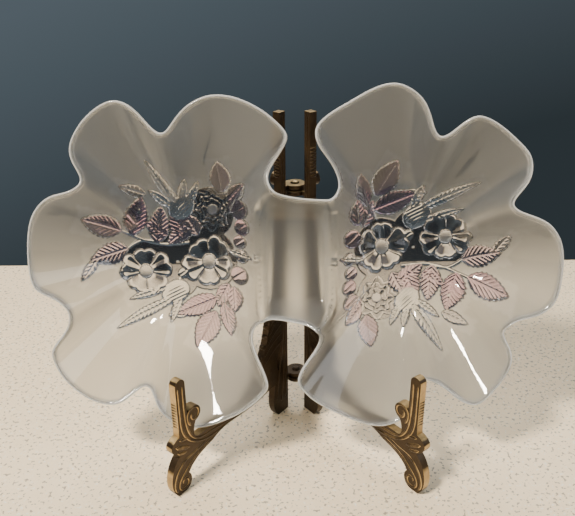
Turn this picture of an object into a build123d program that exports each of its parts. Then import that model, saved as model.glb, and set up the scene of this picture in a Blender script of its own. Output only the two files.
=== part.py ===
"""Chip and dip server: a two-lobed pressed-glass dish that stands in a folding brass easel.

Model frame: millimetres, +Z up, the dish faces -Y, X is the long way across the dish.
The origin lies on the table under the middle of the whole object's bounding box.
"""
from build123d import *
import math
import os

import numpy as np

# ---- whole object ----
HINGE_Y = 48.40           # the easel's hinge line stands this far behind the origin
EASEL_HEIGHT = 240.0      # top of the two uprights
OPEN_ANGLE = 37.8         # each leaf stands open this far from the straight-ahead line

# ---- dish, in its own frame: x across, v up the tilted face, h out of the face ----
DISH_LEAN = 17.0          # the face leans back this many degrees from upright
DISH_AHEAD = 48.5         # centre of the rim plane ahead of the hinge line
DISH_CENTRE_Z = 148.2
GLASS = 4.4               # wall thickness
LOBE_X = 85.0             # each bowl's centre from the middle
BOWL_FLOOR = -42.0        # inner floor of a bowl below the rim plane
FLAT_SHARE = 0.42         # share of a bowl's radius that is flat floor
RIDGE_X = 25.5            # the two ridges between the bowls and the well
RIDGE_TOP = -8.5
WELL_FLOOR = -20.5        # inner floor of the dip well
WELL_HALF_X = 18.0
WELL_HALF_V = 27.0
WELL_RISE_X = 7.5         # width of the well's side slopes
WELL_RISE_V = 14.0        # and of its end slopes
SOFTNESS = 1.6            # how far the ridges are rounded

# The rim, anticlockwise, in stretches that each start in a notch between two petals.
STRETCHES = [
    [(-87.2, 86.4), (-95.0, 92.0), (-104.0, 102.0), (-115.0, 107.0), (-128.0, 102.5),
     (-140.0, 91.0), (-146.0, 78.0), (-144.5, 66.0)],
    [(-142.3, 54.5), (-149.0, 49.5), (-161.0, 46.0), (-172.5, 35.0), (-177.5, 17.0),
     (-177.9, -2.0), (-174.0, -15.5), (-162.5, -23.5)],
    [(-154.3, -33.0), (-158.0, -47.0), (-164.8, -58.0), (-163.0, -70.0), (-152.0, -85.0),
     (-136.0, -95.0), (-123.0, -96.0), (-112.0, -89.5)],
    # lowest petal of the left lobe, the gap below the bridge, lowest petal of the right lobe
    [(-104.0, -85.5), (-96.0, -98.0), (-84.0, -109.5), (-69.0, -113.6), (-52.0, -109.8),
     (-36.0, -102.0), (-25.0, -93.0), (-19.5, -84.0), (-21.5, -76.0), (-27.0, -65.0),
     (-30.0, -54.0), (-27.5, -45.0), (-19.0, -41.0), (-5.0, -42.0), (7.0, -44.3),
     (14.0, -49.0), (15.5, -56.0), (9.0, -67.0), (2.0, -76.0), (0.5, -83.0), (5.0, -90.0),
     (15.0, -98.0), (30.0, -106.0), (45.0, -112.0), (60.0, -113.6), (72.0, -108.5),
     (81.0, -96.0)],
    [(88.3, -83.0), (96.0, -85.0), (105.0, -91.5), (115.0, -98.2), (123.0, -99.0),
     (131.0, -93.5), (139.0, -84.0), (145.0, -72.0), (144.5, -60.0)],
    [(141.5, -49.0), (148.0, -42.5), (160.0, -38.5), (172.0, -30.0), (177.0, -16.0),
     (177.9, 0.0), (175.5, 13.0), (168.0, 24.0), (156.0, 30.3)],
    [(145.2, 37.0), (149.0, 46.0), (154.0, 57.0), (153.5, 68.0), (145.0, 79.0),
     (130.0, 91.0), (118.0, 95.0), (106.0, 88.5)],
    # highest petal of the right lobe, the gap above the bridge, highest petal of the left lobe
    [(96.0, 82.5), (88.0, 96.0), (79.0, 109.5), (66.0, 116.0), (50.0, 113.0), (34.0, 104.5),
     (20.0, 96.0), (13.0, 87.0), (14.0, 79.0), (20.0, 70.0), (27.0, 59.0), (28.8, 50.0),
     (25.0, 43.0), (16.0, 41.8), (3.0, 43.0), (-7.0, 45.0), (-14.5, 48.5), (-18.0, 56.0),
     (-14.0, 66.0), (-8.0, 75.0), (-5.0, 83.0), (-10.0, 91.0), (-24.0, 102.0),
     (-41.0, 109.0), (-56.0, 109.5), (-70.0, 103.0), (-80.0, 92.5)],
]
RIM = [point for stretch in STRETCHES for point in stretch]
BRIDGE_V = 50.0           # rim points nearer the middle line than this edge the bridge, not a bowl
BRIDGE_X = 60.0

# ---- brass leaves, drawn folded: s ahead of the hinge line, z up ----
LEAF_GAP = 0.5            # inner face of a folded leaf from the middle plane
LEAF_THICK = 5.5
UPRIGHT_S0 = 9.8          # back edge of the upright bar
UPRIGHT_S1 = 15.8         # front edge
SCROLL_S = 11.0           # small scroll on the upright's outer face
SCROLL_Z = 192.5
SCROLL_RADIUS = 4.8
SCROLL_STANDS_OUT = 3.6
REST_S0 = 96.0            # level stretch of the rail the dish's rim stands on
REST_S1 = 110.0
REST_Z = 37.9
HOOK_S0 = 118.0           # tall finger in front of the dish
HOOK_S1 = 126.5
HOOK_TOP = 90.0

# ---- hinges ----
HINGE_HEIGHTS = {"upper": 184.0, "lower": 28.0}
LUG_RADIUS = 7.5
LUG_THICK = 3.0
PIN_RADIUS = 1.6
BORE_RADIUS = 1.66
WASHER_RADIUS = 5.2
WASHER_THICK = 0.8
HEAD_RADIUS = 3.2
HEAD_THICK = 1.5
GAP = 0.32                # air between pieces that must stay free of each other


def bowl_edge(rim):
    """Angles and radii of the left bowl's edge, rim and ridge, from the bowl's centre."""
    points = [(x, v) for x, v in rim if x < 0 and (abs(v) > BRIDGE_V or x < -BRIDGE_X)]
    points += [(-RIDGE_X, v) for v in (-36.0, -18.0, 0.0, 18.0, 36.0)]
    angles = [math.atan2(v, x + LOBE_X) for x, v in points]
    radii = [math.hypot(x + LOBE_X, v) for x, v in points]
    order = np.argsort(angles)
    return np.array(angles)[order], np.array(radii)[order]


LEFT_EDGE = bowl_edge(RIM)
RIGHT_EDGE = bowl_edge([(-x, -v) for x, v in RIM])    # turned by 180 degrees


def bowl_height(x, v, edge):
    """Inner surface of a bowl centred at x = -LOBE_X; it keeps rising outside the rim."""
    away = np.hypot(x + LOBE_X, v)
    angle = np.arctan2(v, x + LOBE_X)
    radius = sum(
        np.interp(angle + turn, *edge, period=2 * math.pi) for turn in np.linspace(-0.08, 0.08, 7)
    ) / 7
    inward = np.clip((np.cos(angle) - 0.60) / 0.22, 0, 1)
    rim = RIDGE_TOP * inward * inward * (3 - 2 * inward)
    share = np.maximum(away / radius - FLAT_SHARE, 0) / (1 - FLAT_SHARE)
    rise = 1.25 * share**1.5 / (1 + 0.25 * share**1.5)
    return BOWL_FLOOR + (rim - BOWL_FLOOR) * rise


def well_height(x, v):
    """Inner surface of the dip well in the bridge between the bowls."""
    side = np.maximum(np.abs(x) - WELL_HALF_X, 0) / WELL_RISE_X
    end = np.maximum(np.abs(v) - WELL_HALF_V, 0) / WELL_RISE_V
    return WELL_FLOOR + (RIDGE_TOP - WELL_FLOOR) * np.hypot(side, end) ** 1.4


def dish_height(x, v):
    """Inner surface of the whole dish: the lowest of the three basins, ridges rounded."""
    basins = [bowl_height(x, v, LEFT_EDGE), bowl_height(-x, -v, RIGHT_EDGE), well_height(x, v)]
    return -SOFTNESS * np.log(sum(np.exp(-b / SOFTNESS) for b in basins))


def surface(grid_x, grid_v, heights):
    """Smooth face through a grid of heights."""
    rows = [
        [Vector(float(x), float(v), float(h)) for x, v, h in zip(xs, vs, hs)]
        for xs, vs, hs in zip(grid_x, grid_v, heights)
    ]
    return Face.make_surface_from_array_of_points(rows, tol=0.08, min_deg=3, max_deg=5)


def dish_outline():
    """The closed rim; each notch is rounded along the line between its two neighbours."""
    edges = []
    for before, stretch, after in zip(
        STRETCHES[-1:] + STRETCHES[:-1], STRETCHES, STRETCHES[1:] + STRETCHES[:1]
    ):
        start = Vector(*stretch[1]) - Vector(*before[-1])
        end = Vector(*after[1]) - Vector(*stretch[-1])
        edges.append(Spline(*stretch, after[0], tangents=[start.normalized(), end.normalized()]))
    return make_face(Wire(edges))


def glass_dish():
    """Slab of glass between the inner surface and the same surface one wall lower."""
    grid_x, grid_v = np.meshgrid(
        np.linspace(-182, 182, 92), np.linspace(-120, 120, 61), indexing="ij"
    )
    inner = dish_height(grid_x, grid_v)
    slope_x, slope_v = np.gradient(inner, grid_x[:, 0], grid_v[0])
    wall = GLASS * np.sqrt(1 + np.minimum(slope_x**2 + slope_v**2, 1.2))
    blank = extrude(dish_outline(), amount=60, both=True)
    above_inner = extrude(surface(grid_x, grid_v, inner), amount=120, dir=(0, 0, 1))
    above_outer = extrude(surface(grid_x, grid_v, inner - wall), amount=160, dir=(0, 0, 1))
    dish = (blank & above_outer) - above_inner
    lean = math.radians(DISH_LEAN)
    face_frame = Plane(
        origin=(0, HINGE_Y - DISH_AHEAD, DISH_CENTRE_Z),
        x_dir=(1, 0, 0),
        z_dir=(0, -math.cos(lean), math.sin(lean)),
    )
    return face_frame.location * dish


def rear_foot():
    """Rounded foot at the bottom of the upright."""
    edge = [
        Line((UPRIGHT_S0, 40), (UPRIGHT_S0, 8)),
        ThreePointArc((UPRIGHT_S0, 8), (11.0, 3.2), (15.0, 0)),
        Line((15.0, 0), (22.0, 0)),
        Spline((22.0, 0), (26.6, 8.0), (27.2, 20.0), (25.6, 31.0)),
        Line((25.6, 31.0), (UPRIGHT_S0, 40)),
    ]
    return make_face(Wire(edge))


def upright():
    """Straight bar, cut off flat at the top."""
    middle = (UPRIGHT_S0 + UPRIGHT_S1) / 2
    return Pos(middle, EASEL_HEIGHT / 2) * Rectangle(UPRIGHT_S1 - UPRIGHT_S0, EASEL_HEIGHT)


def brace():
    """Leafy brace from the upright down to the rail, with a slot beside the upright."""
    outer = Spline((15.0, 172), (17.2, 150), (23.5, 118), (30.5, 90), (34.5, 73), (41.5, 60))
    under = Spline((41.5, 60), (38.5, 51), (37.5, 44), (40.0, 38))
    back = Polyline((40.0, 38), (30.0, 30), (15.0, 30), (15.0, 172))
    slot = make_face(
        Wire([
            Spline((18.0, 62), (17.2, 50), (18.2, 38)),
            Spline((18.2, 38), (22.6, 45), (22.0, 54), (18.0, 62)),
        ])
    )
    return make_face(Wire([outer, under] + back.edges())) - slot


def rail():
    """Arm that carries the dish, running forward into the front leg and its foot scroll."""
    top = [
        Spline((34.0, 52), (46.0, 41), (62.0, 33.5), (82.0, 34.5), (REST_S0, REST_Z)),
        Line((REST_S0, REST_Z), (REST_S1, REST_Z)),
        Spline((REST_S1, REST_Z), (112.4, 39.4), (113.2, 43), (112.4, 48), (110.0, 53)),
        Line((110.0, 53), (126.5, 53)),
    ]
    front = [
        Line((126.5, 53), (126.8, 46.8)),
        Spline((126.8, 46.8), (130.5, 45.6), (134.0, 41.5), (132.5, 36.5), (127.6, 31.8)),
        Spline((127.6, 31.8), (132.0, 27.0), (135.8, 18.0), (135.8, 8.0), (131.5, 0)),
        Line((131.5, 0), (124.0, 0)),
    ]
    under = [
        Spline((124.0, 0), (119.8, 3.4), (118.6, 8.4), (120.6, 13.0)),
        Spline((120.6, 13.0), (115.0, 18.6), (106.0, 22.6), (96.0, 25.0)),
        Spline((96.0, 25.0), (84.0, 28.4), (66.0, 27.8), (44.0, 28.0), (24.0, 33.0)),
        Line((24.0, 33.0), (34.0, 52)),
    ]
    return make_face(Wire(top + front + under))


def hook():
    """Tall front finger and the small curl behind it that keeps the dish from sliding."""
    finger = Pos((HOOK_S0 + HOOK_S1) / 2, 65) * SlotCenterToCenter(
        HOOK_TOP - 40 - (HOOK_S1 - HOOK_S0), HOOK_S1 - HOOK_S0, rotation=90
    )
    curl = Pos(112.4, 57.6) * Circle(6.4)
    return finger + curl


def casting(lug_bottoms):
    """One brass leaf in the folded pose, on the -X side of the middle plane."""
    drawing = Plane(origin=(-LEAF_GAP, 0, 0), x_dir=(0, -1, 0), z_dir=(-1, 0, 0))
    flat = upright() + rear_foot() + brace() + rail() + hook()
    leaf = drawing * extrude(flat, amount=LEAF_THICK)
    scroll = Pos(SCROLL_S, SCROLL_Z, LEAF_THICK) * Cylinder(
        SCROLL_RADIUS, SCROLL_STANDS_OUT, align=(Align.CENTER, Align.CENTER, Align.MIN)
    )
    leaf = leaf + drawing * scroll
    for bottom in lug_bottoms:
        disc = Pos(0, 0, bottom) * Cylinder(
            LUG_RADIUS, LUG_THICK, align=(Align.CENTER, Align.CENTER, Align.MIN)
        )
        neck = Pos(-LEAF_GAP, -UPRIGHT_S0 - 1, bottom) * Box(
            LEAF_THICK, UPRIGHT_S0 + 1, LUG_THICK, align=(Align.MAX, Align.MIN, Align.MIN)
        )
        bore = Pos(0, 0, bottom) * Cylinder(BORE_RADIUS, 4 * LUG_THICK)
        leaf = leaf + disc + neck - bore
    return leaf


def upper_lug_bottom(height):
    """Underside of the left leaf's lug, above the washer."""
    return height + WASHER_THICK / 2 + GAP


def lower_lug_bottom(height):
    """Underside of the right leaf's lug, below the washer."""
    return height - WASHER_THICK / 2 - GAP - LUG_THICK


def on_hinge_line(shape, turn=0.0):
    """Swing a piece about the hinge line and set it at the back of the object."""
    return Pos(0, HINGE_Y, 0) * Rot(0, 0, turn) * shape


def left_leaf():
    """Left casting; its lugs are the upper ones."""
    leaf = casting([upper_lug_bottom(h) for h in HINGE_HEIGHTS.values()])
    return on_hinge_line(leaf, -OPEN_ANGLE)


def right_leaf():
    """Right casting, the mirror image with the lower lugs."""
    leaf = casting([lower_lug_bottom(h) for h in HINGE_HEIGHTS.values()])
    return on_hinge_line(mirror(leaf, Plane.YZ), OPEN_ANGLE)


def washer(height):
    """Flat washer between the two lugs."""
    ring = Cylinder(WASHER_RADIUS, WASHER_THICK) - Cylinder(BORE_RADIUS, 4 * WASHER_THICK)
    return on_hinge_line(Pos(0, 0, height) * ring)


def rivet(height):
    """Pin through both lugs with a domed head above and a peened one below."""
    top = upper_lug_bottom(height) + LUG_THICK + GAP
    bottom = lower_lug_bottom(height) - GAP
    shank = Pos(0, 0, (top + bottom) / 2) * Cylinder(PIN_RADIUS, top - bottom + 0.4)
    ball_radius = (HEAD_RADIUS**2 + HEAD_THICK**2) / (2 * HEAD_THICK)
    ball = Sphere(ball_radius)
    block = Pos(0, 0, ball_radius) * Box(20, 20, 2 * HEAD_THICK)
    cap = Pos(0, 0, HEAD_THICK - ball_radius) * (ball & block)
    pin = shank + Pos(0, 0, top) * cap + Pos(0, 0, bottom) * Rot(180, 0, 0) * cap
    return on_hinge_line(pin)


PIECES = {
    "glass_dish": glass_dish,
    "left_leaf": left_leaf,
    "right_leaf": right_leaf,
    "upper_hinge_rivet": lambda: rivet(HINGE_HEIGHTS["upper"]),
    "upper_hinge_washer": lambda: washer(HINGE_HEIGHTS["upper"]),
    "lower_hinge_rivet": lambda: rivet(HINGE_HEIGHTS["lower"]),
    "lower_hinge_washer": lambda: washer(HINGE_HEIGHTS["lower"]),
}

os.makedirs("parts", exist_ok=True)
for name, make in PIECES.items():
    piece = make()
    piece.label = name
    export_step(piece, f"parts/{name}.step")
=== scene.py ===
"""Looks for the chip and dip server: petalled glass dish with relief bouquets, antique brass easel."""

import math

import bmesh
import bpy
import numpy as np
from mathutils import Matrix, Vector
from mathutils.geometry import delaunay_2d_cdt


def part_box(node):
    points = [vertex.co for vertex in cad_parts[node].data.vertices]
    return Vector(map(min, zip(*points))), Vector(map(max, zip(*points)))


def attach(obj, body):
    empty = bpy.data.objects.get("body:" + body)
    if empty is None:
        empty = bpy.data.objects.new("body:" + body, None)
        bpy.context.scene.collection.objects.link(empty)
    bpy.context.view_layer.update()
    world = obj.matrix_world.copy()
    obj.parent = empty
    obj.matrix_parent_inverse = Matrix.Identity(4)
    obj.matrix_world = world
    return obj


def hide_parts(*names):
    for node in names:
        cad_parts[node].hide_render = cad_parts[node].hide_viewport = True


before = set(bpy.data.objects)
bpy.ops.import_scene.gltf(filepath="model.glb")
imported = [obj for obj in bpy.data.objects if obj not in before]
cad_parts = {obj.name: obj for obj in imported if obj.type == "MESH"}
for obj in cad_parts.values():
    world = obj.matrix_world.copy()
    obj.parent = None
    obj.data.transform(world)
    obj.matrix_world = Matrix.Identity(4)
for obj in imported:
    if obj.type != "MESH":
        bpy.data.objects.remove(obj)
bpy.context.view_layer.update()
MM = 0.001
BODY_OF_LEAF = {-1: "left_leaf", 1: "right_leaf"}    # side of the middle plane: body and CAD node

# ---- the dish's own frame, as in the CAD model: x across, v up the face, h out of the face (mm) ----
DISH_LEAN = math.radians(17.0)
DISH_AHEAD = 48.5
DISH_CENTRE_Z = 148.2
GLASS = 4.4
LOBE_X = 85.0
BOWL_FLOOR = -42.0
FLAT_SHARE = 0.42
RIDGE_X = 25.5
RIDGE_TOP = -8.5
WELL_FLOOR = -20.5
WELL_HALF_X = 18.0
WELL_HALF_V = 27.0
WELL_RISE_X = 7.5
WELL_RISE_V = 14.0
SOFTNESS = 1.6

# The rim, anticlockwise, in stretches that each start in a notch between two petals.
STRETCHES = [
    [(-87.2, 86.4), (-95.0, 92.0), (-104.0, 102.0), (-115.0, 107.0), (-128.0, 102.5),
     (-140.0, 91.0), (-146.0, 78.0), (-144.5, 66.0)],
    [(-142.3, 54.5), (-149.0, 49.5), (-161.0, 46.0), (-172.5, 35.0), (-177.5, 17.0),
     (-177.9, -2.0), (-174.0, -15.5), (-162.5, -23.5)],
    [(-154.3, -33.0), (-158.0, -47.0), (-164.8, -58.0), (-163.0, -70.0), (-152.0, -85.0),
     (-136.0, -95.0), (-123.0, -96.0), (-112.0, -89.5)],
    # lowest petal of the left lobe, the gap below the bridge, lowest petal of the right lobe
    [(-104.0, -85.5), (-96.0, -98.0), (-84.0, -109.5), (-69.0, -113.6), (-52.0, -109.8),
     (-36.0, -102.0), (-25.0, -93.0), (-19.5, -84.0), (-21.5, -76.0), (-27.0, -65.0),
     (-30.0, -54.0), (-27.5, -45.0), (-19.0, -41.0), (-5.0, -42.0), (7.0, -44.3),
     (14.0, -49.0), (15.5, -56.0), (9.0, -67.0), (2.0, -76.0), (0.5, -83.0), (5.0, -90.0),
     (15.0, -98.0), (30.0, -106.0), (45.0, -112.0), (60.0, -113.6), (72.0, -108.5),
     (81.0, -96.0)],
    [(88.3, -83.0), (96.0, -85.0), (105.0, -91.5), (115.0, -98.2), (123.0, -99.0),
     (131.0, -93.5), (139.0, -84.0), (145.0, -72.0), (144.5, -60.0)],
    [(141.5, -49.0), (148.0, -42.5), (160.0, -38.5), (172.0, -30.0), (177.0, -16.0),
     (177.9, 0.0), (175.5, 13.0), (168.0, 24.0), (156.0, 30.3)],
    [(145.2, 37.0), (149.0, 46.0), (154.0, 57.0), (153.5, 68.0), (145.0, 79.0),
     (130.0, 91.0), (118.0, 95.0), (106.0, 88.5)],
    # highest petal of the right lobe, the gap above the bridge, highest petal of the left lobe
    [(96.0, 82.5), (88.0, 96.0), (79.0, 109.5), (66.0, 116.0), (50.0, 113.0), (34.0, 104.5),
     (20.0, 96.0), (13.0, 87.0), (14.0, 79.0), (20.0, 70.0), (27.0, 59.0), (28.8, 50.0),
     (25.0, 43.0), (16.0, 41.8), (3.0, 43.0), (-7.0, 45.0), (-14.5, 48.5), (-18.0, 56.0),
     (-14.0, 66.0), (-8.0, 75.0), (-5.0, 83.0), (-10.0, 91.0), (-24.0, 102.0),
     (-41.0, 109.0), (-56.0, 109.5), (-70.0, 103.0), (-80.0, 92.5)],
]
RIM = [point for stretch in STRETCHES for point in stretch]
BRIDGE_V = 50.0
BRIDGE_X = 60.0

HINGE_Y = (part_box("upper_hinge_washer")[0].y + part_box("upper_hinge_washer")[1].y) / 2
DISH_CENTRE = np.array([0.0, HINGE_Y / MM - DISH_AHEAD, DISH_CENTRE_Z])


# ------------------------------------------------------------------ dish: shape
def bowl_edge(rim):
    """Angles and radii of the left bowl's edge, rim and ridge, from the bowl's centre."""
    points = [(x, v) for x, v in rim if x < 0 and (abs(v) > BRIDGE_V or x < -BRIDGE_X)]
    points += [(-RIDGE_X, v) for v in (-36.0, -18.0, 0.0, 18.0, 36.0)]
    angles = [math.atan2(v, x + LOBE_X) for x, v in points]
    radii = [math.hypot(x + LOBE_X, v) for x, v in points]
    order = np.argsort(angles)
    return np.array(angles)[order], np.array(radii)[order]


LEFT_EDGE = bowl_edge(RIM)
RIGHT_EDGE = bowl_edge([(-x, -v) for x, v in RIM])    # turned by 180 degrees


def bowl_height(x, v, edge):
    """Inner surface of a bowl centred at x = -LOBE_X; it keeps rising outside the rim."""
    away = np.hypot(x + LOBE_X, v)
    angle = np.arctan2(v, x + LOBE_X)
    radius = sum(
        np.interp(angle + turn, *edge, period=2 * math.pi) for turn in np.linspace(-0.08, 0.08, 7)
    ) / 7
    inward = np.clip((np.cos(angle) - 0.60) / 0.22, 0, 1)
    rim = RIDGE_TOP * inward * inward * (3 - 2 * inward)
    share = np.maximum(away / radius - FLAT_SHARE, 0) / (1 - FLAT_SHARE)
    rise = 1.25 * share**1.5 / (1 + 0.25 * share**1.5)
    return BOWL_FLOOR + (rim - BOWL_FLOOR) * rise


def well_height(x, v):
    """Inner surface of the dip well in the bridge between the bowls."""
    side = np.maximum(np.abs(x) - WELL_HALF_X, 0) / WELL_RISE_X
    end = np.maximum(np.abs(v) - WELL_HALF_V, 0) / WELL_RISE_V
    return WELL_FLOOR + (RIDGE_TOP - WELL_FLOOR) * np.hypot(side, end) ** 1.4


def dish_height(x, v):
    """Inner surface of the whole dish: the lowest of the three basins, ridges rounded."""
    basins = [bowl_height(x, v, LEFT_EDGE), bowl_height(-x, -v, RIGHT_EDGE), well_height(x, v)]
    return -SOFTNESS * np.log(sum(np.exp(-b / SOFTNESS) for b in basins))


def wall_height(x, v):
    """Thickness of the glass measured along h, so that it stays even on the slopes."""
    step = 0.5
    slope_x = (dish_height(x + step, v) - dish_height(x - step, v)) / (2 * step)
    slope_v = (dish_height(x, v + step) - dish_height(x, v - step)) / (2 * step)
    return GLASS * np.sqrt(1 + np.minimum(slope_x**2 + slope_v**2, 1.2))


def smooth_curve(points, spacing, closed=False):
    """Points along a cubic spline through the given points, about evenly spaced."""
    p = np.array(points + points[:1] if closed else points, float)
    t = np.concatenate([[0], np.cumsum(np.linalg.norm(np.diff(p, axis=0), axis=1))])
    gap = np.diff(t)
    slope = np.diff(p, axis=0) / gap[:, None]
    n = len(p)
    system = np.eye(n)
    right = np.zeros((n, 2))
    for i in range(0 if closed else 1, n - 1):
        system[i, :] = 0
        before = gap[i - 1]
        system[i, (i - 1) if i else n - 2] += before
        system[i, i] += 2 * (before + gap[i])
        system[i, i + 1] += gap[i]
        right[i] = 6 * (slope[i] - slope[i - 1])
    if closed:
        system[-1, 0] = -1
    bend = np.linalg.solve(system, right)
    at = np.linspace(0, t[-1], max(2, round(t[-1] / spacing)) + 1)[:-1]
    i = np.clip(np.searchsorted(t, at, side="right") - 1, 0, n - 2)
    a = ((t[i + 1] - at) / gap[i])[:, None]
    b = 1 - a
    h2 = (gap[i] ** 2)[:, None] / 6
    return a * p[i] + b * p[i + 1] + h2 * ((a**3 - a) * bend[i] + (b**3 - b) * bend[i + 1])


def inside_distance(points, outline):
    """Distance to the outline, positive inside."""
    a = outline
    b = np.roll(outline, -1, axis=0)
    out = np.empty(len(points))
    for start in range(0, len(points), 4000):
        q = points[start:start + 4000, None, :]
        ab = b - a
        t = np.clip(((q - a) * ab).sum(-1) / (ab * ab).sum(-1), 0, 1)
        near = np.sqrt((((a + t[..., None] * ab) - q) ** 2).sum(-1)).min(1)
        x, v = q[..., 0], q[..., 1]
        crosses = (a[:, 1] > v) != (b[:, 1] > v)
        rise = np.where(ab[:, 1] == 0, 1e-9, ab[:, 1])
        left = x < a[:, 0] + (v - a[:, 1]) / rise * ab[:, 0]
        inside = (crosses & left).sum(1) % 2 == 1
        out[start:start + 4000] = np.where(inside, near, -near)
    return out


def to_world(x, v, h):
    """Dish coordinates in mm to metres in the part's frame."""
    s, c = math.sin(DISH_LEAN), math.cos(DISH_LEAN)
    return (DISH_CENTRE + np.stack([x, v * s - h * c, v * c + h * s], axis=-1)) * MM


RIM_STEPS = (0.12, 0.45, 0.95, 1.5, 2.2)    # rings of points inside the outline
FRONT_SPACING = 2.0
BACK_SPACING = 2.4
RELIEF_SPACING = 0.55
RELIEF_GAIN = 1.15
# the whiter band along the rim is a painted highlight
RIM_BAND = 1.3             # width of the whiter band along the rim
DISH_REACH = (178, 117)    # half size of the grids of points
BOUQUET_REACH = (-156, -22, -74, 76)


def unturned(x, v):
    """Turns points of the right half by half a turn, onto the left half."""
    side = np.where(x < 0, 1, -1)
    return x * side, v * side


def plan_points(outline, spacing, fine_spacing=None):
    """Triangulated plan of the dish: rings beside the rim and a staggered grid inside."""
    side = np.roll(outline, -1, axis=0) - np.roll(outline, 1, axis=0)
    side /= np.linalg.norm(side, axis=1)[:, None]
    inward = np.stack([-side[:, 1], side[:, 0]], axis=1)
    sets = []
    for step in RIM_STEPS:
        ring = outline + inward * step
        sets.append(ring[inside_distance(ring, outline) > step * 0.93])

    def grid(gap, x0, x1, v0, v1):
        rows = np.arange(v0, v1, gap * 0.866)
        cols = np.arange(x0, x1, gap)
        x, v = np.meshgrid(cols, rows)
        x = x + (np.arange(len(rows)) % 2)[:, None] * gap / 2
        return np.stack([x.ravel(), v.ravel()], axis=1)

    wide, high = DISH_REACH
    body = grid(spacing, -wide, wide, -high, high)
    margin = RIM_STEPS[-1] + spacing * 0.6
    if fine_spacing:
        body = body[~in_bouquet(*unturned(*body.T))]
        fine = grid(fine_spacing, *BOUQUET_REACH)
        fine = fine[in_bouquet(fine[:, 0], fine[:, 1])]
        sets += [fine, -fine]
    body = body[inside_distance(body, outline) > margin]
    sets.append(body)
    points = np.vstack([outline] + sets)
    count = len(outline)
    edges = [(i, (i + 1) % count) for i in range(count)]
    verts, _, faces, *_ = delaunay_2d_cdt([Vector(p) for p in points], edges, [], 1, 1e-7)
    return np.array([tuple(p) for p in verts]), np.array(faces)


# ------------------------------------------------------------------ dish: relief of the bouquets
# Left bouquet, in dish coordinates (mm); the right one is the same turned by 180 degrees.
LEAVES = [  # base, tip, half width, lilac tint
    ((-125.5, 19.0), (-149.0, 29.5), 9.0, 0.9),
    ((-121.0, 5.5), (-146.5, -1.5), 8.2, 0.7),
    ((-117.5, 15.0), (-110.5, 43.0), 8.4, 1.0),
    ((-99.5, 9.0), (-96.5, 35.5), 7.6, 0.8),
    ((-74.0, 22.5), (-92.0, 8.5), 6.4, 0.8),
    ((-51.0, 46.0), (-53.8, 68.0), 7.6, 1.0),
    ((-46.5, 39.0), (-34.3, 51.5), 6.2, 0.9),
    ((-42.0, -21.5), (-41.5, -39.0), 6.2, 0.9),
    ((-56.5, -31.5), (-87.5, -43.5), 7.6, 1.0),
    ((-57.5, -42.0), (-72.3, -67.5), 9.0, 1.0),
    ((-49.0, -34.0), (-45.5, -58.0), 6.8, 1.0),
    ((-107.0, 44.5), (-124.5, 51.0), 4.4, 0.2),
    ((-143.0, -1.0), (-150.5, -15.5), 3.6, 0.3),
    ((-80.0, 12.0), (-88.0, 34.0), 7.0, 0.9),
    ((-70.0, 14.0), (-79.0, 30.0), 6.0, 0.7),
    ((-92.0, 14.0), (-108.0, 24.0), 5.6, 0.9),
    ((-44.0, 30.0), (-38.0, 44.0), 5.6, 0.9),
    ((-46.0, -20.0), (-56.0, -38.0), 5.8, 0.9),
]
BALLS = [  # centre, radius, tint
    ((-37.5, 32.5), 6.3, 0.9),
    ((-35.5, 21.5), 5.4, 0.9),
    ((-37.0, 11.5), 4.8, 0.7),
    ((-35.5, 1.5), 4.6, 0.3),
    ((-37.8, -12.5), 6.4, 0.8),
    ((-81.5, -13.0), 3.9, 0.0),
    ((-112.0, 31.5), 3.0, 0.1),
]
FLOWERS = [  # centre, radius, petals, turn, button radius
    ((-62.3, -4.8), 20.5, 5, 0.3, 5.4),
    ((-108.6, -11.5), 19.5, 5, 0.9, 4.9),
]
# centre, radius
ROSE = ((-59.5, 33.0), 16.5)
SEPALS = [  # base, tip, half width
    ((-86.0, 39.0), (-104.0, 70.0), 4.2),
    ((-82.0, 40.0), (-79.0, 56.0), 3.2),
    ((-76.0, 38.0), (-69.0, 54.0), 3.0),
    ((-88.0, 35.0), (-105.0, 48.0), 3.4),
    ((-84.0, 27.0), (-76.0, 44.0), 2.6),
    ((-89.0, 30.0), (-86.0, 46.0), 2.6),
    ((-88.0, -31.0), (-130.0, -52.0), 4.0),
    ((-84.0, -31.0), (-92.0, -50.0), 3.2),
    ((-92.0, -23.0), (-122.0, -32.0), 3.2),
    ((-80.0, -22.0), (-96.0, -33.0), 2.8),
    ((-46.0, 4.0), (-28.0, 0.5), 2.4),
]
PADS = [  # low ground under the flowers, painted fully dark as shade: centre, radius
    ((-62.0, -3.0), 22.5),
    ((-106.0, -8.0), 20.0),
    ((-60.0, 31.0), 18.5),
    ((-84.0, 10.0), 14.0),
    ((-84.0, -18.0), 13.0),
]
PAD_HEIGHT = 0.6
# centre, half length, half width, turn
BUDS = [((-81.5, 34.5), 10.5, 8.4, 0.9), ((-87.5, -27.0), 11.0, 8.6, 0.6)]
STEMS = [
    [(-125.5, 19.0), (-112.0, 12.5), (-94.0, 8.0), (-76.0, 9.5)],
    [(-121.0, 5.5), (-110.0, 11.0), (-98.0, 9.0)],
    [(-81.5, -13.0), (-84.0, -17.0), (-88.0, -22.0)],
    [(-72.0, -36.0), (-82.0, -45.0), (-94.0, -44.0)],
]


def along(x, v, base, tip):
    """Share of the way from base to tip, the distance sideways, and the whole length."""
    bx, bv = base
    dx, dv = tip[0] - bx, tip[1] - bv
    length = math.hypot(dx, dv)
    u = ((x - bx) * dx + (v - bv) * dv) / length**2
    q = ((x - bx) * -dv + (v - bv) * dx) / length
    return u, q, length


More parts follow.
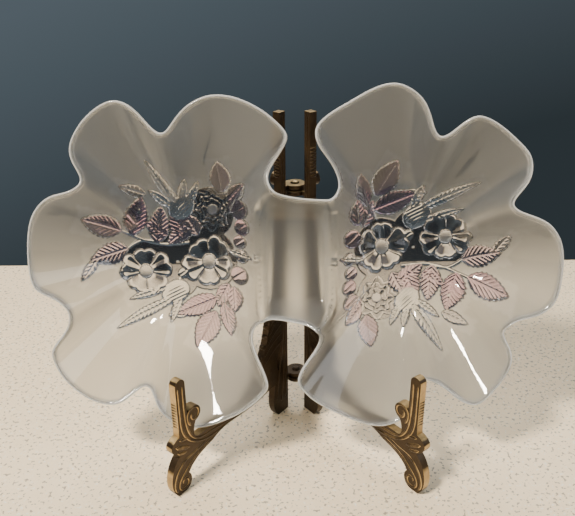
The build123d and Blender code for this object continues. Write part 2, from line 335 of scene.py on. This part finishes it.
def leaf_relief(x, v, base, tip, half):
    """Leaf with a raised edge, a midrib groove and slanting veins; height and painted shade."""
    u, q, length = along(x, v, base, tip)
    uc = np.clip(u, 0, 1)
    width = half * np.sin(math.pi * uc**0.82) ** 0.75 + 1e-6
    width = width * (1 + 0.05 * np.sin(uc * length * 2.1))
    across = np.abs(q) / width
    on = (u > 0) & (u < 1) & (across < 1)
    crown = 1.15 + 1.05 * np.sqrt(np.clip(1 - across**2, 0, 1))
    rib = -0.75 * np.exp(-((q / 0.55) ** 2))
    wave = np.sin((uc * length - np.abs(q) * 0.9) * 1.9)
    veins = 0.24 * wave * np.clip(across * 3, 0, 1)
    # painted shade: one half of the leaf, the troughs of its veins and its edge are darker; the midrib
    # stays clear
    dark = 0.16 + 0.22 * (q > 0) + 0.30 * np.clip(-wave, 0, 1) * (across < 0.9)
    dark = np.maximum(dark, 0.8 * (across > 0.86))
    dark = np.where(np.abs(q) < 0.5, 0.0, dark)
    return np.where(on, crown + rib + veins, 0), dark


def ball_relief(x, v, centre, radius):
    """Round leaflet or berry: a dome with a folded middle."""
    away = np.hypot(x - centre[0], v - centre[1]) / radius
    fold = -0.5 * np.exp(-(((x - centre[0]) * 0.6 - (v - centre[1]) * 0.8) / 0.6) ** 2)
    dome = 0.9 + 1.5 * np.sqrt(np.clip(1 - away**2, 0, 1)) + fold * (away < 0.8)
    return np.where(away < 1, dome, 0)


def flower_relief(x, v, centre, radius, petals, turn, button):
    """Open flower: broad ruffled petals round a domed button; height, painted shade and button."""
    dx, dv = x - centre[0], v - centre[1]
    away = np.hypot(dx, dv)
    angle = np.arctan2(dv, dx) + turn
    sector = 2 * math.pi / petals
    index = np.floor((angle + sector / 2) / sector)
    local = ((angle + sector / 2) % sector - sector / 2) / (sector / 2)
    reach = radius * (0.93 + 0.07 * np.sin(index * 2.3))
    edge = reach * (1 - 0.17 * local**4 - 0.08 * np.exp(-((local / 0.17) ** 2)))
    share = away / edge
    cup = 1.1 + 2.1 * np.clip(share, 0, 1) ** 1.7
    ruffle = 0.40 * np.cos(local * 4.6) * np.clip(share, 0, 1)
    between = -1.5 * np.exp(-((1 - np.abs(local)) / 0.10) ** 2) * np.clip(share * 1.4, 0, 1)
    rolled = -1.3 * np.clip((share - 0.88) / 0.12, 0, 1) ** 2
    petal = np.where(share < 1, cup + ruffle + between + rolled, 0)
    # painted shade: a dark band across the middle of the petals, varying from petal to petal
    dark = np.clip((share - 0.34) / 0.12, 0, 1) * np.clip((0.86 - share) / 0.08, 0, 1)
    dark = dark * (0.75 + 0.35 * np.sin(index * 1.7 + local * 2.6)) + 0.15
    on_button = away < button
    rays = 0.25 * np.sin(angle * 14)
    dome = 1.7 + 1.5 * np.sqrt(np.clip(1 - (away / button) ** 2, 0, 1)) + rays * away / button
    return np.where(on_button, dome, petal), dark, on_button


def rose_relief(x, v, centre, radius):
    """Dense flower: rings of small overlapping petals; height, painted shade and button."""
    dx, dv = x - centre[0], v - centre[1]
    away = np.hypot(dx, dv)
    angle = np.arctan2(dv, dx)
    wavy = radius * (0.93 + 0.07 * np.cos(angle * 8))
    height = np.zeros_like(x)
    dark = np.zeros_like(x)
    button = 0.24
    # share of the radius, petals, turn, height
    rings = [(1.0, 8, 0.0, 1.2), (0.74, 7, 0.5, 1.9), (0.50, 5, 1.1, 2.5), (button, 1, 0.0, 3.1)]
    for share, petals, turn, lift in rings:
        local = np.abs(((angle + turn) * petals / (2 * math.pi)) % 1 - 0.5) * 2
        edge = wavy * share * (1 - 0.13 * (1 - local) ** 3)
        part = away / edge
        cup = lift - 0.9 * (1 - np.clip(part, 0, 1)) * (petals > 1)
        seam = -0.7 * np.exp(-((1 - local) / 0.16) ** 2) * (petals > 1)
        height = np.where(part < 1, np.maximum(cup + seam, 0.5), height)
        # painted shade: each ring of petals dark inside, paler at its edge
        dark = np.where(part < 1, 0.25 + 0.75 * np.clip((0.93 - part) / 0.06, 0, 1), dark)
    return height, dark, away < radius * button


def bud_relief(x, v, centre, across, up, turn):
    """Swollen bud with ridges that run to its tip."""
    dx, dv = x - centre[0], v - centre[1]
    a = dx * math.cos(turn) + dv * math.sin(turn)
    b = -dx * math.sin(turn) + dv * math.cos(turn)
    away = np.hypot(a / across, b / up)
    ridges = 0.35 * np.sin(b * 2.6 + 0.4 * a)
    dome = 1.0 + 2.4 * np.sqrt(np.clip(1 - away**2, 0, 1))
    return np.where(away < 1, dome + ridges * (1 - away), 0)


def stem_relief(x, v, points):
    """Thin round stem along a curve."""
    line = smooth_curve(points, 0.8)
    away = np.full(x.shape, 1e9)
    for a, b in zip(line[:-1], line[1:]):
        u, q, _ = along(x, v, tuple(a), tuple(b))
        away = np.minimum(away, np.where((u > -0.2) & (u < 1.2), np.abs(q), 1e9))
    return np.where(away < 1.0, 0.7 + 0.8 * np.sqrt(np.clip(1 - away**2, 0, 1)), 0)


def left_relief(x, v):
    """Height, lilac tint, frost and painted shade of the left bouquet."""
    height = np.zeros_like(x)
    tint = np.zeros_like(x)
    dark = np.zeros_like(x)
    frosted = np.zeros(x.shape, bool)

    def add(piece, colour, painted_dark, frost=False):
        nonlocal height, tint, dark, frosted
        wins = piece > height
        height = np.where(wins, piece, height)
        tint = np.where(wins, colour, tint)
        dark = np.where(wins, painted_dark, dark)
        frosted = np.where(wins, frost, frosted)

    # the pads fill the ground between the flowers with full painted shade; the third value of each add
    # is its painted shade
    for centre, radius in PADS:
        add(np.where(np.hypot(x - centre[0], v - centre[1]) < radius, PAD_HEIGHT, 0), 0.1, 1.0)
    for points in STEMS:
        add(stem_relief(x, v, points), 0.0, 0.0)
    for base, tip, half, colour in LEAVES:
        piece, painted_dark = leaf_relief(x, v, base, tip, half)
        add(piece, colour, painted_dark)
    for centre, radius, colour in BALLS:
        add(ball_relief(x, v, centre, radius), colour, 0.45)
    for centre, across, up, turn in BUDS:
        add(bud_relief(x, v, centre, across, up, turn), 0.0, 0.1)
    for base, tip, half in SEPALS:
        piece, _ = leaf_relief(x, v, base, tip, half)
        add(piece * 1.25, 0.0, 0.0)
    piece, painted_dark, button = rose_relief(x, v, *ROSE)
    add(piece * 1.05, 0.15, painted_dark, button)
    for flower in FLOWERS:
        piece, painted_dark, button = flower_relief(x, v, *flower)
        add(piece, 0.1, painted_dark, button)
    return height, tint, frosted, dark


def in_bouquet(x, v):
    """Where the back of the left bowl needs a fine mesh."""
    margin = 1.5
    near = np.zeros(x.shape, bool)
    for base, tip, half, *_ in LEAVES + SEPALS:
        u, q, length = along(x, v, base, tip)
        near |= (u > -margin / length) & (u < 1 + margin / length) & (np.abs(q) < half + margin)
    rounds = [(c, r) for c, r, _ in BALLS] + [(f[0], f[1]) for f in FLOWERS] + [ROSE]
    rounds += [(b[0], b[1]) for b in BUDS] + PADS
    for centre, radius in rounds:
        near |= np.hypot(x - centre[0], v - centre[1]) < radius + margin
    for points in STEMS:
        for p in points:
            near |= np.hypot(x - p[0], v - p[1]) < 7
    return near


def relief(x, v):
    """Both bouquets: the right one is the left one turned by half a turn."""
    return left_relief(*unturned(x, v))


def painted_shade(x, v, height):
    """Painted shade where the relief drops steeply, at its outlines, and in its hollows and creases.
    """
    step = 0.45
    steps = ((step, 0), (-step, 0), (0, step), (0, -step))
    around = [relief(x + dx, v + dv)[0] for dx, dv in steps]
    steep = np.hypot(around[0] - around[1], around[2] - around[3]) / (2 * step)
    hollow = np.clip(sum(around) / 4 - height, 0, 1)
    return np.clip((steep - 0.7) / 1.6, 0, 1) * 0.75 + np.clip(hollow * 3.0, 0, 0.6)


# ------------------------------------------------------------------ dish: mesh
def rim_roll(distance, wall):
    """How far each face drops towards the middle of the wall beside the rounded rim."""
    radius = GLASS / 2
    t = np.clip(1 - distance / radius, 0, 1)
    return wall / 2 * (1 - np.sqrt(1 - t * t))


def make_mesh(name, verts, faces, flags=None):
    """Mesh object from arrays, smooth shaded, with point attributes."""
    mesh = bpy.data.meshes.new(name)
    mesh.from_pydata([tuple(p) for p in verts], [], [tuple(int(i) for i in f) for f in faces])
    for key, values in (flags or {}).items():
        layer = mesh.attributes.new(key, "FLOAT", "POINT")
        layer.data.foreach_set("value", np.asarray(values, np.float32))
    mesh.shade_smooth()
    mesh.validate()
    obj = bpy.data.objects.new(name, mesh)
    bpy.context.scene.collection.objects.link(obj)
    return obj


def rim_distance(points, outline):
    """Distance to the rim, worked out only outside the bouquets, which are far from it."""
    far = 99.0
    edge = ~in_bouquet(*unturned(*points.T))
    near = np.full(len(points), far)
    near[edge] = np.maximum(inside_distance(points[edge], outline), 0)
    return near


def build_dish():
    """Closed glass body: smooth inner face, and outer face with the bouquets standing out of it."""
    outline = smooth_curve(RIM, 1.0, closed=True)
    count = len(outline)
    front_plan, front_faces = plan_points(outline, FRONT_SPACING)
    back_plan, back_faces = plan_points(outline, BACK_SPACING, RELIEF_SPACING)
    x, v = front_plan.T
    front_near = rim_distance(front_plan, outline)
    front_near[:count] = 0
    front = to_world(x, v, dish_height(x, v) - rim_roll(front_near, wall_height(x, v)))
    window = in_bouquet(*unturned(x, v)) * 1.0
    x, v = back_plan[count:].T
    wall = wall_height(x, v)
    near = rim_distance(back_plan[count:], outline)
    lift, tint, frosted, dark = np.zeros((4, len(x)))
    carved = in_bouquet(*unturned(x, v))
    lift[carved], tint[carved], frosted[carved], dark[carved] = relief(x[carved], v[carved])
    lines = np.zeros(len(x))
    lines[carved] = painted_shade(x[carved], v[carved], lift[carved])
    # painted shade: the flowers are darker, and the leaves more lilac, towards the top of the dish
    shade = dark * np.clip(0.95 + v / 110, 0.5, 1.3) * (1 - frosted)
    pale = np.clip(0.95 + v / 160, 0.65, 1.0)
    back = to_world(x, v, dish_height(x, v) - wall + rim_roll(near, wall) - lift * RELIEF_GAIN)
    offset = len(front)
    back_index = np.where(back_faces < count, back_faces, back_faces - count + offset)
    verts = np.vstack([front, back])
    faces = [tuple(f) for f in front_faces] + [tuple(f[::-1]) for f in back_index]
    clear = np.clip(lift / PAD_HEIGHT, 0, 1) * (1 - frosted * 0.75)
    plain = np.zeros(offset)
    flags = {
        "clear": np.concatenate([window, clear]),
        "frost": np.concatenate([plain, 1 - clear]),
        "tint": np.concatenate([plain, tint * pale * (lift > 0)]),
        # the rim band is whitened as a painted highlight
        "rim": np.concatenate([front_near < RIM_BAND, near < RIM_BAND]) * 1.0,
        "painted_shade": np.concatenate([plain, np.clip(lines + shade, 0, 1)]),
    }
    return make_mesh("glass_dish_body", verts, faces, flags)


# ------------------------------------------------------------------ easel: ribs on the two leaves
LEAF_GAP = 0.5
LEAF_THICK = 5.5
OPEN_ANGLE = math.radians(37.8)
PROUD = {0.0: 0.40, LEAF_THICK: 0.75}    # the inner faces nearly touch when the leaves are folded
RIBS = [  # half width, path along the leaf (mm from the hinge line, mm above the table)
    (0.95, [(120.2, 84.5), (120.1, 62), (118.8, 50), (115.6, 41.5), (109.5, 35.8), (99, 34.0),
            (84, 32.0), (66, 31.6), (50, 37.0), (40.5, 46)]),
    (0.95, [(124.3, 84.5), (124.2, 62), (122.6, 47.5), (116.5, 38.0), (106, 31.6), (94, 29.4),
            (78, 29.6), (60, 29.3)]),
    (1.00, [(97, 26.8), (107, 24.8), (116.5, 21.2), (124, 15.8), (129.5, 9.5), (129.4, 4.8),
            (125.6, 2.6), (122.0, 4.6), (121.6, 8.4), (124.2, 10.4), (126.8, 8.8), (126.0, 6.2)]),
    (1.05, [(103, 29.0), (113, 26.8), (121.5, 25.6), (128.5, 21.2), (133.0, 14.0), (133.6, 7.0),
            (131.2, 2.4)]),
    (0.95, [(115.5, 49.5), (117.6, 54.5), (117.0, 60.4), (112.6, 62.9), (108.0, 60.4),
            (107.7, 55.8), (110.8, 53.2), (114.0, 55.0), (113.9, 58.4), (111.6, 58.6)]),
    (1.50, [(118.0, 33.5), (124.5, 37.0), (131.6, 41.0)]),
    (1.10, [(121.0, 31.5), (126.0, 33.0), (130.6, 36.2)]),
    (1.20, [(118.5, 41.5), (123.5, 43.0), (128.2, 44.4)]),
    (0.80, [(11.1, 238), (11.1, 190), (11.1, 120), (11.1, 50), (13.5, 12)]),
    (0.80, [(12.9, 238), (12.9, 190), (12.9, 120), (12.9, 66), (14.8, 34), (18.5, 10)]),
    (0.80, [(14.7, 238), (14.7, 190), (14.9, 120), (15.2, 72), (20.6, 36), (24.0, 14)]),
]
# The brace's leafy edge (mm above the table, mm from the hinge line) and what lies along it.
FEATHER_EDGE = ([59.5, 73, 90, 118, 150, 172], [40.5, 33.8, 29.6, 22.8, 16.8, 15.2])
BEAD_EDGE = ([60, 73, 90, 118, 150, 172], [41.0, 34.3, 30.3, 23.3, 17.1, 15.2])
FEATHERS = 13
FEATHER_STEP = 7.6
FEATHER_TOP = 158
FEATHER_DROP = 13
FEATHER_START = 16.2
BEAD_TOP = 145
BEAD_LOWEST = 61
SMALL_BEADS = 9


def feather_paths():
    """Slanting ribs of the brace, from the upright down to its leafy edge."""
    paths = []
    for k in range(FEATHERS):
        z = FEATHER_TOP - FEATHER_STEP * k
        end = z - FEATHER_DROP
        edge = float(np.interp(end, *FEATHER_EDGE))
        middle = ((FEATHER_START + edge) / 2, z - 5.0)
        paths.append((0.75, [(FEATHER_START, z), middle, (edge - 0.9, end)]))
    return paths


def leaf_point(side, s, z, t):
    """Leaf coordinates (mm) to metres; side is -1 for the left leaf, t counts from the inner face."""
    c, n = math.cos(OPEN_ANGLE), math.sin(OPEN_ANGLE)
    across = (LEAF_GAP + t) * c + s * n
    ahead = s * c - (LEAF_GAP + t) * n
    return np.stack([side * across * MM, HINGE_Y - ahead * MM, z * MM], axis=-1)


def tube(rings):
    """Closed skin over rows of rings."""
    rows, around = rings.shape[:2]
    faces = []
    for r in range(rows - 1):
        for k in range(around):
            a, b = r * around + k, r * around + (k + 1) % around
            faces.append((a, b, b + around, a + around))
    faces.append(tuple(range(around)))
    faces.append(tuple(range((rows - 1) * around, rows * around))[::-1])
    return rings.reshape(-1, 3), faces


def rib(side, face, half, points):
    """Half-sunk rib along a smooth path on one face, drawn to a point at both ends."""
    path = smooth_curve(points, 1.1)
    heading = np.gradient(path, axis=0)
    heading /= np.linalg.norm(heading, axis=1)[:, None]
    ends = np.minimum(np.arange(len(path)), np.arange(len(path))[::-1]) / 2.5
    size = np.clip(0.15 + ends, 0, 1)[:, None]
    turn = np.linspace(0, 2 * math.pi, 9)[:-1][None, :]
    s = path[:, :1] - heading[:, 1:] * half * size * np.cos(turn)
    z = path[:, 1:] + heading[:, :1] * half * size * np.cos(turn)
    t = face + PROUD[face] * size * np.sin(turn)
    return tube(leaf_point(side, s, z, t))


def cross_bead(side, s, z, radius):
    """Short round bead lying across an edge of the leaf."""
    turn = np.linspace(0, 2 * math.pi, 13)[:-1][None, :]
    t = np.array([0.25, 0.7, LEAF_THICK - 0.7, LEAF_THICK - 0.25])[:, None] + 0 * turn
    size = radius * np.array([0.7, 1.0, 1.0, 0.7])[:, None]
    return tube(leaf_point(side, s + size * np.cos(turn), z + size * np.sin(turn), t))


def build_leaf_ribs(name, side):
    """All the raised ornament of one leaf."""
    parts = []
    for face in PROUD:
        for half, points in RIBS + feather_paths():
            parts.append(rib(side, face, half, points))
    for k in range(FEATHERS):
        z = BEAD_TOP - FEATHER_STEP * k
        if z > BEAD_LOWEST:
            edge = float(np.interp(z, *BEAD_EDGE))
            parts.append(cross_bead(side, edge - 0.6, z, 2.0))
    for k in range(SMALL_BEADS):    # on the upright's and the hook's front edges
        parts.append(cross_bead(side, 15.5, 196 + 2.4 * k, 0.95))
        parts.append(cross_bead(side, 126.1, 54 + 2.2 * k, 0.85))
    verts = []
    faces = []
    for part_verts, part_faces in parts:
        offset = sum(len(v) for v in verts)
        verts.append(part_verts)
        faces += [tuple(i + offset for i in f) for f in part_faces]
    verts = np.vstack(verts)
    obj = make_mesh(name, verts, faces, {"rub": np.ones(len(verts))})
    shape = bmesh.new()
    shape.from_mesh(obj.data)
    bmesh.ops.recalc_face_normals(shape, faces=shape.faces)
    shape.to_mesh(obj.data)
    shape.free()
    return obj


# ------------------------------------------------------------------ materials
def new_material(name):
    """Empty node material with a Principled shader."""
    material = bpy.data.materials.new(name)
    material.use_nodes = True
    nodes = material.node_tree.nodes
    return material, nodes, material.node_tree.links, nodes["Principled BSDF"]


def attribute(nodes, name):
    """Value stored on the mesh's points."""
    node = nodes.new("ShaderNodeAttribute")
    node.attribute_name = name
    return node.outputs["Fac"]


def mix_colour(nodes, links, factor, a, b):
    """Blend of two colours, each a socket or a plain colour."""
    node = nodes.new("ShaderNodeMix")
    node.data_type = "RGBA"
    links.new(factor, node.inputs["Factor"])
    for socket, value in ((node.inputs["A"], a), (node.inputs["B"], b)):
        if isinstance(value, bpy.types.NodeSocket):
            links.new(value, socket)
        else:
            socket.default_value = (*value, 1)
    return node.outputs["Result"]


def map_range(nodes, links, value, low, high, to_low, to_high):
    """Value stretched from one range to another and kept inside it."""
    node = nodes.new("ShaderNodeMapRange")
    links.new(value, node.inputs["Value"])
    keys = ("From Min", "From Max", "To Min", "To Max")
    for key, number in zip(keys, (low, high, to_low, to_high)):
        node.inputs[key].default_value = number
    return node.outputs["Result"]


def noise(nodes, links, scale, detail=3.0, roughness=0.5):
    """Cloudy noise fixed to the object."""
    place = nodes.new("ShaderNodeTexCoord")
    node = nodes.new("ShaderNodeTexNoise")
    links.new(place.outputs["Object"], node.inputs["Vector"])
    node.inputs["Scale"].default_value = scale
    node.inputs["Detail"].default_value = detail
    node.inputs["Roughness"].default_value = roughness
    return node.outputs["Fac"]


def combine(nodes, links, operation, a, b):
    """Maths node of two values."""
    node = nodes.new("ShaderNodeMath")
    node.operation = operation
    for socket, value in zip(node.inputs, (a, b)):
        if isinstance(value, bpy.types.NodeSocket):
            links.new(value, socket)
        else:
            socket.default_value = value
    return node.outputs[0]


def glass_material():
    """Etched outside, polished inside; clear relief with dark lines of painted shade, lilac leaves,
    and a rim whitened as a painted highlight.
    """
    material, nodes, links, shader = new_material("frosted_glass")
    clear = attribute(nodes, "clear")
    tint = attribute(nodes, "tint")
    frost = attribute(nodes, "frost")
    lines = attribute(nodes, "painted_shade")
    cloud = noise(nodes, links, 14.0)
    milk = mix_colour(nodes, links, cloud, (0.72, 0.725, 0.71), (0.82, 0.82, 0.80))
    body = mix_colour(nodes, links, clear, milk, (0.93, 0.94, 0.95))
    lilac = mix_colour(nodes, links, tint, body, (0.58, 0.20, 0.42))
    # near-black painted shade on the bouquets' outlines, creases, hollows and darker parts
    with_painted_shade = mix_colour(nodes, links, lines, lilac, (0.004, 0.005, 0.012))
    links.new(with_painted_shade, shader.inputs["Base Color"])
    links.new(map_range(nodes, links, frost, 0, 1, 0.03, 0.50), shader.inputs["Roughness"])
    see_through = map_range(nodes, links, clear, 0, 1, 0.96, 0.99)
    # painted highlight: the glass is less clear, so whiter, in the band along the rim
    painted_rim_highlight = combine(nodes, links, "MULTIPLY", attribute(nodes, "rim"), 0.45)
    through = combine(nodes, links, "SUBTRACT", see_through, painted_rim_highlight)
    links.new(through, shader.inputs["Transmission Weight"])
    shader.inputs["IOR"].default_value = 1.5
    return material


TOPS_LIT_ABOVE = 0.150     # only the cut tops and the upper hinge get a painted highlight on their upward faces


def brass_material(name, gleam):
    """Antiqued brass: near-black patina in the recesses and painted shade near the hinge; golden wear
    on the ribs, and a painted highlight on front edges and tops.
    """
    material, nodes, links, shader = new_material(name)
    rub = attribute(nodes, "rub")
    place = nodes.new("ShaderNodeTexCoord")
    split = nodes.new("ShaderNodeSeparateXYZ")
    links.new(place.outputs["Normal"], split.inputs["Vector"])
    # painted highlight on faces turned to the front and on faces turned up
    front = map_range(nodes, links, split.outputs["Y"], -0.66, -0.76, 0, 1)
    painted_top_highlight = map_range(nodes, links, split.outputs["Z"], 0.55, 0.85, 0, 1)
    spot = nodes.new("ShaderNodeSeparateXYZ")
    links.new(place.outputs["Object"], spot.inputs["Vector"])
    near, ahead = HINGE_Y - 0.035, HINGE_Y - 0.080    # painted shade at the hinge, behind and under the dish; golden at the hooks
    painted_light_away_from_hinge = map_range(nodes, links, spot.outputs["Y"], near, ahead, 0.12, 1.0)
    limit = TOPS_LIT_ABOVE
    high = map_range(nodes, links, spot.outputs["Z"], limit, limit + 0.004, 0.0, 1.0)
    painted_cut_top_highlight = combine(nodes, links, "MULTIPLY", high, painted_top_highlight)
    painted_light_reach = combine(nodes, links, "MAXIMUM", painted_light_away_from_hinge, painted_cut_top_highlight)
    # painted highlight on front and top faces, kept away from the painted shade at the hinge
    edges = combine(nodes, links, "MULTIPLY", combine(nodes, links, "MAXIMUM", front, painted_top_highlight), painted_light_reach)
    mottle = noise(nodes, links, 90.0, 5.0, 0.65)
    fine = noise(nodes, links, 420.0, 3.0, 0.6)
    # near-black patina of the recesses, also standing as painted shade near the hinge and on faces
    # away from the front and top
    dark = mix_colour(nodes, links, mottle, (0.012, 0.008, 0.005), (0.070, 0.043, 0.020))
    gold = mix_colour(nodes, links, fine, (0.36, 0.24, 0.10), (0.68, 0.50, 0.25))
    # golden wear on the ribs, dimmed by the painted shade near the hinge
    ribs = combine(nodes, links, "MULTIPLY", combine(nodes, links, "MULTIPLY", rub, 0.62), painted_light_away_from_hinge)
    wear_and_painted_highlight = combine(nodes, links, "MAXIMUM", ribs, combine(nodes, links, "MULTIPLY", edges, 0.95))
    wear_and_painted_light = combine(nodes, links, "ADD", wear_and_painted_highlight, combine(nodes, links, "MULTIPLY", mottle, 0.7))
    share = map_range(nodes, links, wear_and_painted_light, 1.05 - gleam, 1.45 - gleam, 0.0, 1.0)
    links.new(mix_colour(nodes, links, share, dark, gold), shader.inputs["Base Color"])
    links.new(map_range(nodes, links, fine, 0.3, 0.7, 0.28, 0.50), shader.inputs["Roughness"])
    shader.inputs["Metallic"].default_value = 0.7
    bump = nodes.new("ShaderNodeBump")
    bump.inputs["Strength"].default_value = 0.25
    bump.inputs["Distance"].default_value = 0.0006
    links.new(fine, bump.inputs["Height"])
    links.new(bump.outputs["Normal"], shader.inputs["Normal"])
    return material


def counter_material():
    """Pale speckled counter."""
    material, nodes, links, shader = new_material("pale_floor")
    cloud = noise(nodes, links, 60.0, 3.0)
    ground = mix_colour(nodes, links, cloud, (0.92, 0.735, 0.48), (1.0, 0.82, 0.56))
    speck = noise(nodes, links, 380.0, 1.0)
    spots = map_range(nodes, links, speck, 0.61, 0.66, 0.0, 0.85)
    pale = map_range(nodes, links, speck, 0.36, 0.30, 0.0, 0.6)
    spotted = mix_colour(nodes, links, spots, ground, (0.30, 0.25, 0.19))
    links.new(mix_colour(nodes, links, pale, spotted, (0.97, 0.94, 0.88)), shader.inputs["Base Color"])
    shader.inputs["Roughness"].default_value = 0.45
    return material


# ------------------------------------------------------------------ stage, camera, light
FLOOR_BEHIND = 0.257    # rear edge of the floor behind the hinge line, in metres
FLOOR_HALF_WIDTH = 1.6
FLOOR_DEPTH = 2.2
CAMERA_LENS = 43.8      # mm, on a 36 mm sensor
CAMERA_PITCH = 25.6     # degrees below level
CAMERA_ROLL = -0.6


def set_camera():
    """Camera at the photograph's viewing angle."""
    data = bpy.data.cameras.new("camera")
    camera = bpy.data.objects.new("camera", data)
    bpy.context.scene.collection.objects.link(camera)
    data.sensor_width = 36
    data.lens = CAMERA_LENS
    data.clip_end = 20
    camera.location = (-0.0057, HINGE_Y - 0.4637, 0.3515)
    camera.rotation_euler = (math.radians(90 - CAMERA_PITCH), 0, 0)
    camera.rotation_euler.rotate_axis("Z", math.radians(CAMERA_ROLL))
    bpy.context.scene.camera = camera


def area_light(name, place, target, size, power, colour):
    """Soft rectangular light aimed at a point."""
    data = bpy.data.lights.new(name, "AREA")
    data.shape = "RECTANGLE"
    data.size, data.size_y = size
    data.energy = power
    data.color = colour
    light = bpy.data.objects.new(name, data)
    bpy.context.scene.collection.objects.link(light)
    light.location = place
    light.rotation_euler = (Vector(target) - Vector(place)).to_track_quat("-Z", "Y").to_euler()


def set_surround():
    """Slate surround, paler towards the upper left."""
    world = bpy.data.worlds.new("surround")
    bpy.context.scene.world = world
    world.use_nodes = True
    background = world.node_tree.nodes["Background"]
    nodes, links = world.node_tree.nodes, world.node_tree.links
    place = nodes.new("ShaderNodeTexCoord")
    split = nodes.new("ShaderNodeSeparateXYZ")
    links.new(place.outputs["Generated"], split.inputs["Vector"])
    slant = combine(nodes, links, "MULTIPLY", split.outputs["X"], -0.35)
    lift = combine(nodes, links, "ADD", split.outputs["Z"], slant)
    share = map_range(nodes, links, lift, -0.36, 0.02, 0.0, 1.0)
    wall = mix_colour(nodes, links, share, (0.028, 0.037, 0.042), (0.088, 0.114, 0.134))
    links.new(wall, background.inputs["Color"])
    background.inputs["Strength"].default_value = 1.0


def set_stage():
    """Pale floor that ends behind the object, and soft lights."""
    far = HINGE_Y + FLOOR_BEHIND
    wide, front = FLOOR_HALF_WIDTH, far - FLOOR_DEPTH
    corners = [(-wide, front, 0), (wide, front, 0), (wide, far, 0), (-wide, far, 0)]
    floor = make_mesh("floor", corners, [(0, 1, 2, 3)])
    floor.data.materials.append(counter_material())
    area_light("key", (-0.75, -0.65, 1.4), (0, 0, 0.1), (0.30, 0.18), 48, (1.0, 0.92, 0.80))
    area_light("fill", (1.2, -0.6, 0.9), (0, 0, 0.12), (0.9, 0.9), 9, (0.95, 0.97, 1.0))
    area_light("back", (0.1, 1.0, 1.3), (0, 0, 0.12), (1.4, 0.5), 14, (1.0, 0.96, 0.90))


# ------------------------------------------------------------------ putting it together
set_camera()
set_surround()
set_stage()
brass = brass_material("antique_brass", 0.10)
hinge_brass = brass_material("hinge_brass", 0.30)
dish = build_dish()
dish.data.materials.append(glass_material())
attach(dish, "dish")
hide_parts("glass_dish")
for side, body in BODY_OF_LEAF.items():
    ribs = build_leaf_ribs(body + "_ornament", side)
    ribs.data.materials.append(brass)
    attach(ribs, body)
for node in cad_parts.values():
    if node.name != "glass_dish":
        node.data.materials.clear()
        is_leaf = node.name in BODY_OF_LEAF.values()
        node.data.materials.append(brass if is_leaf else hinge_brass)
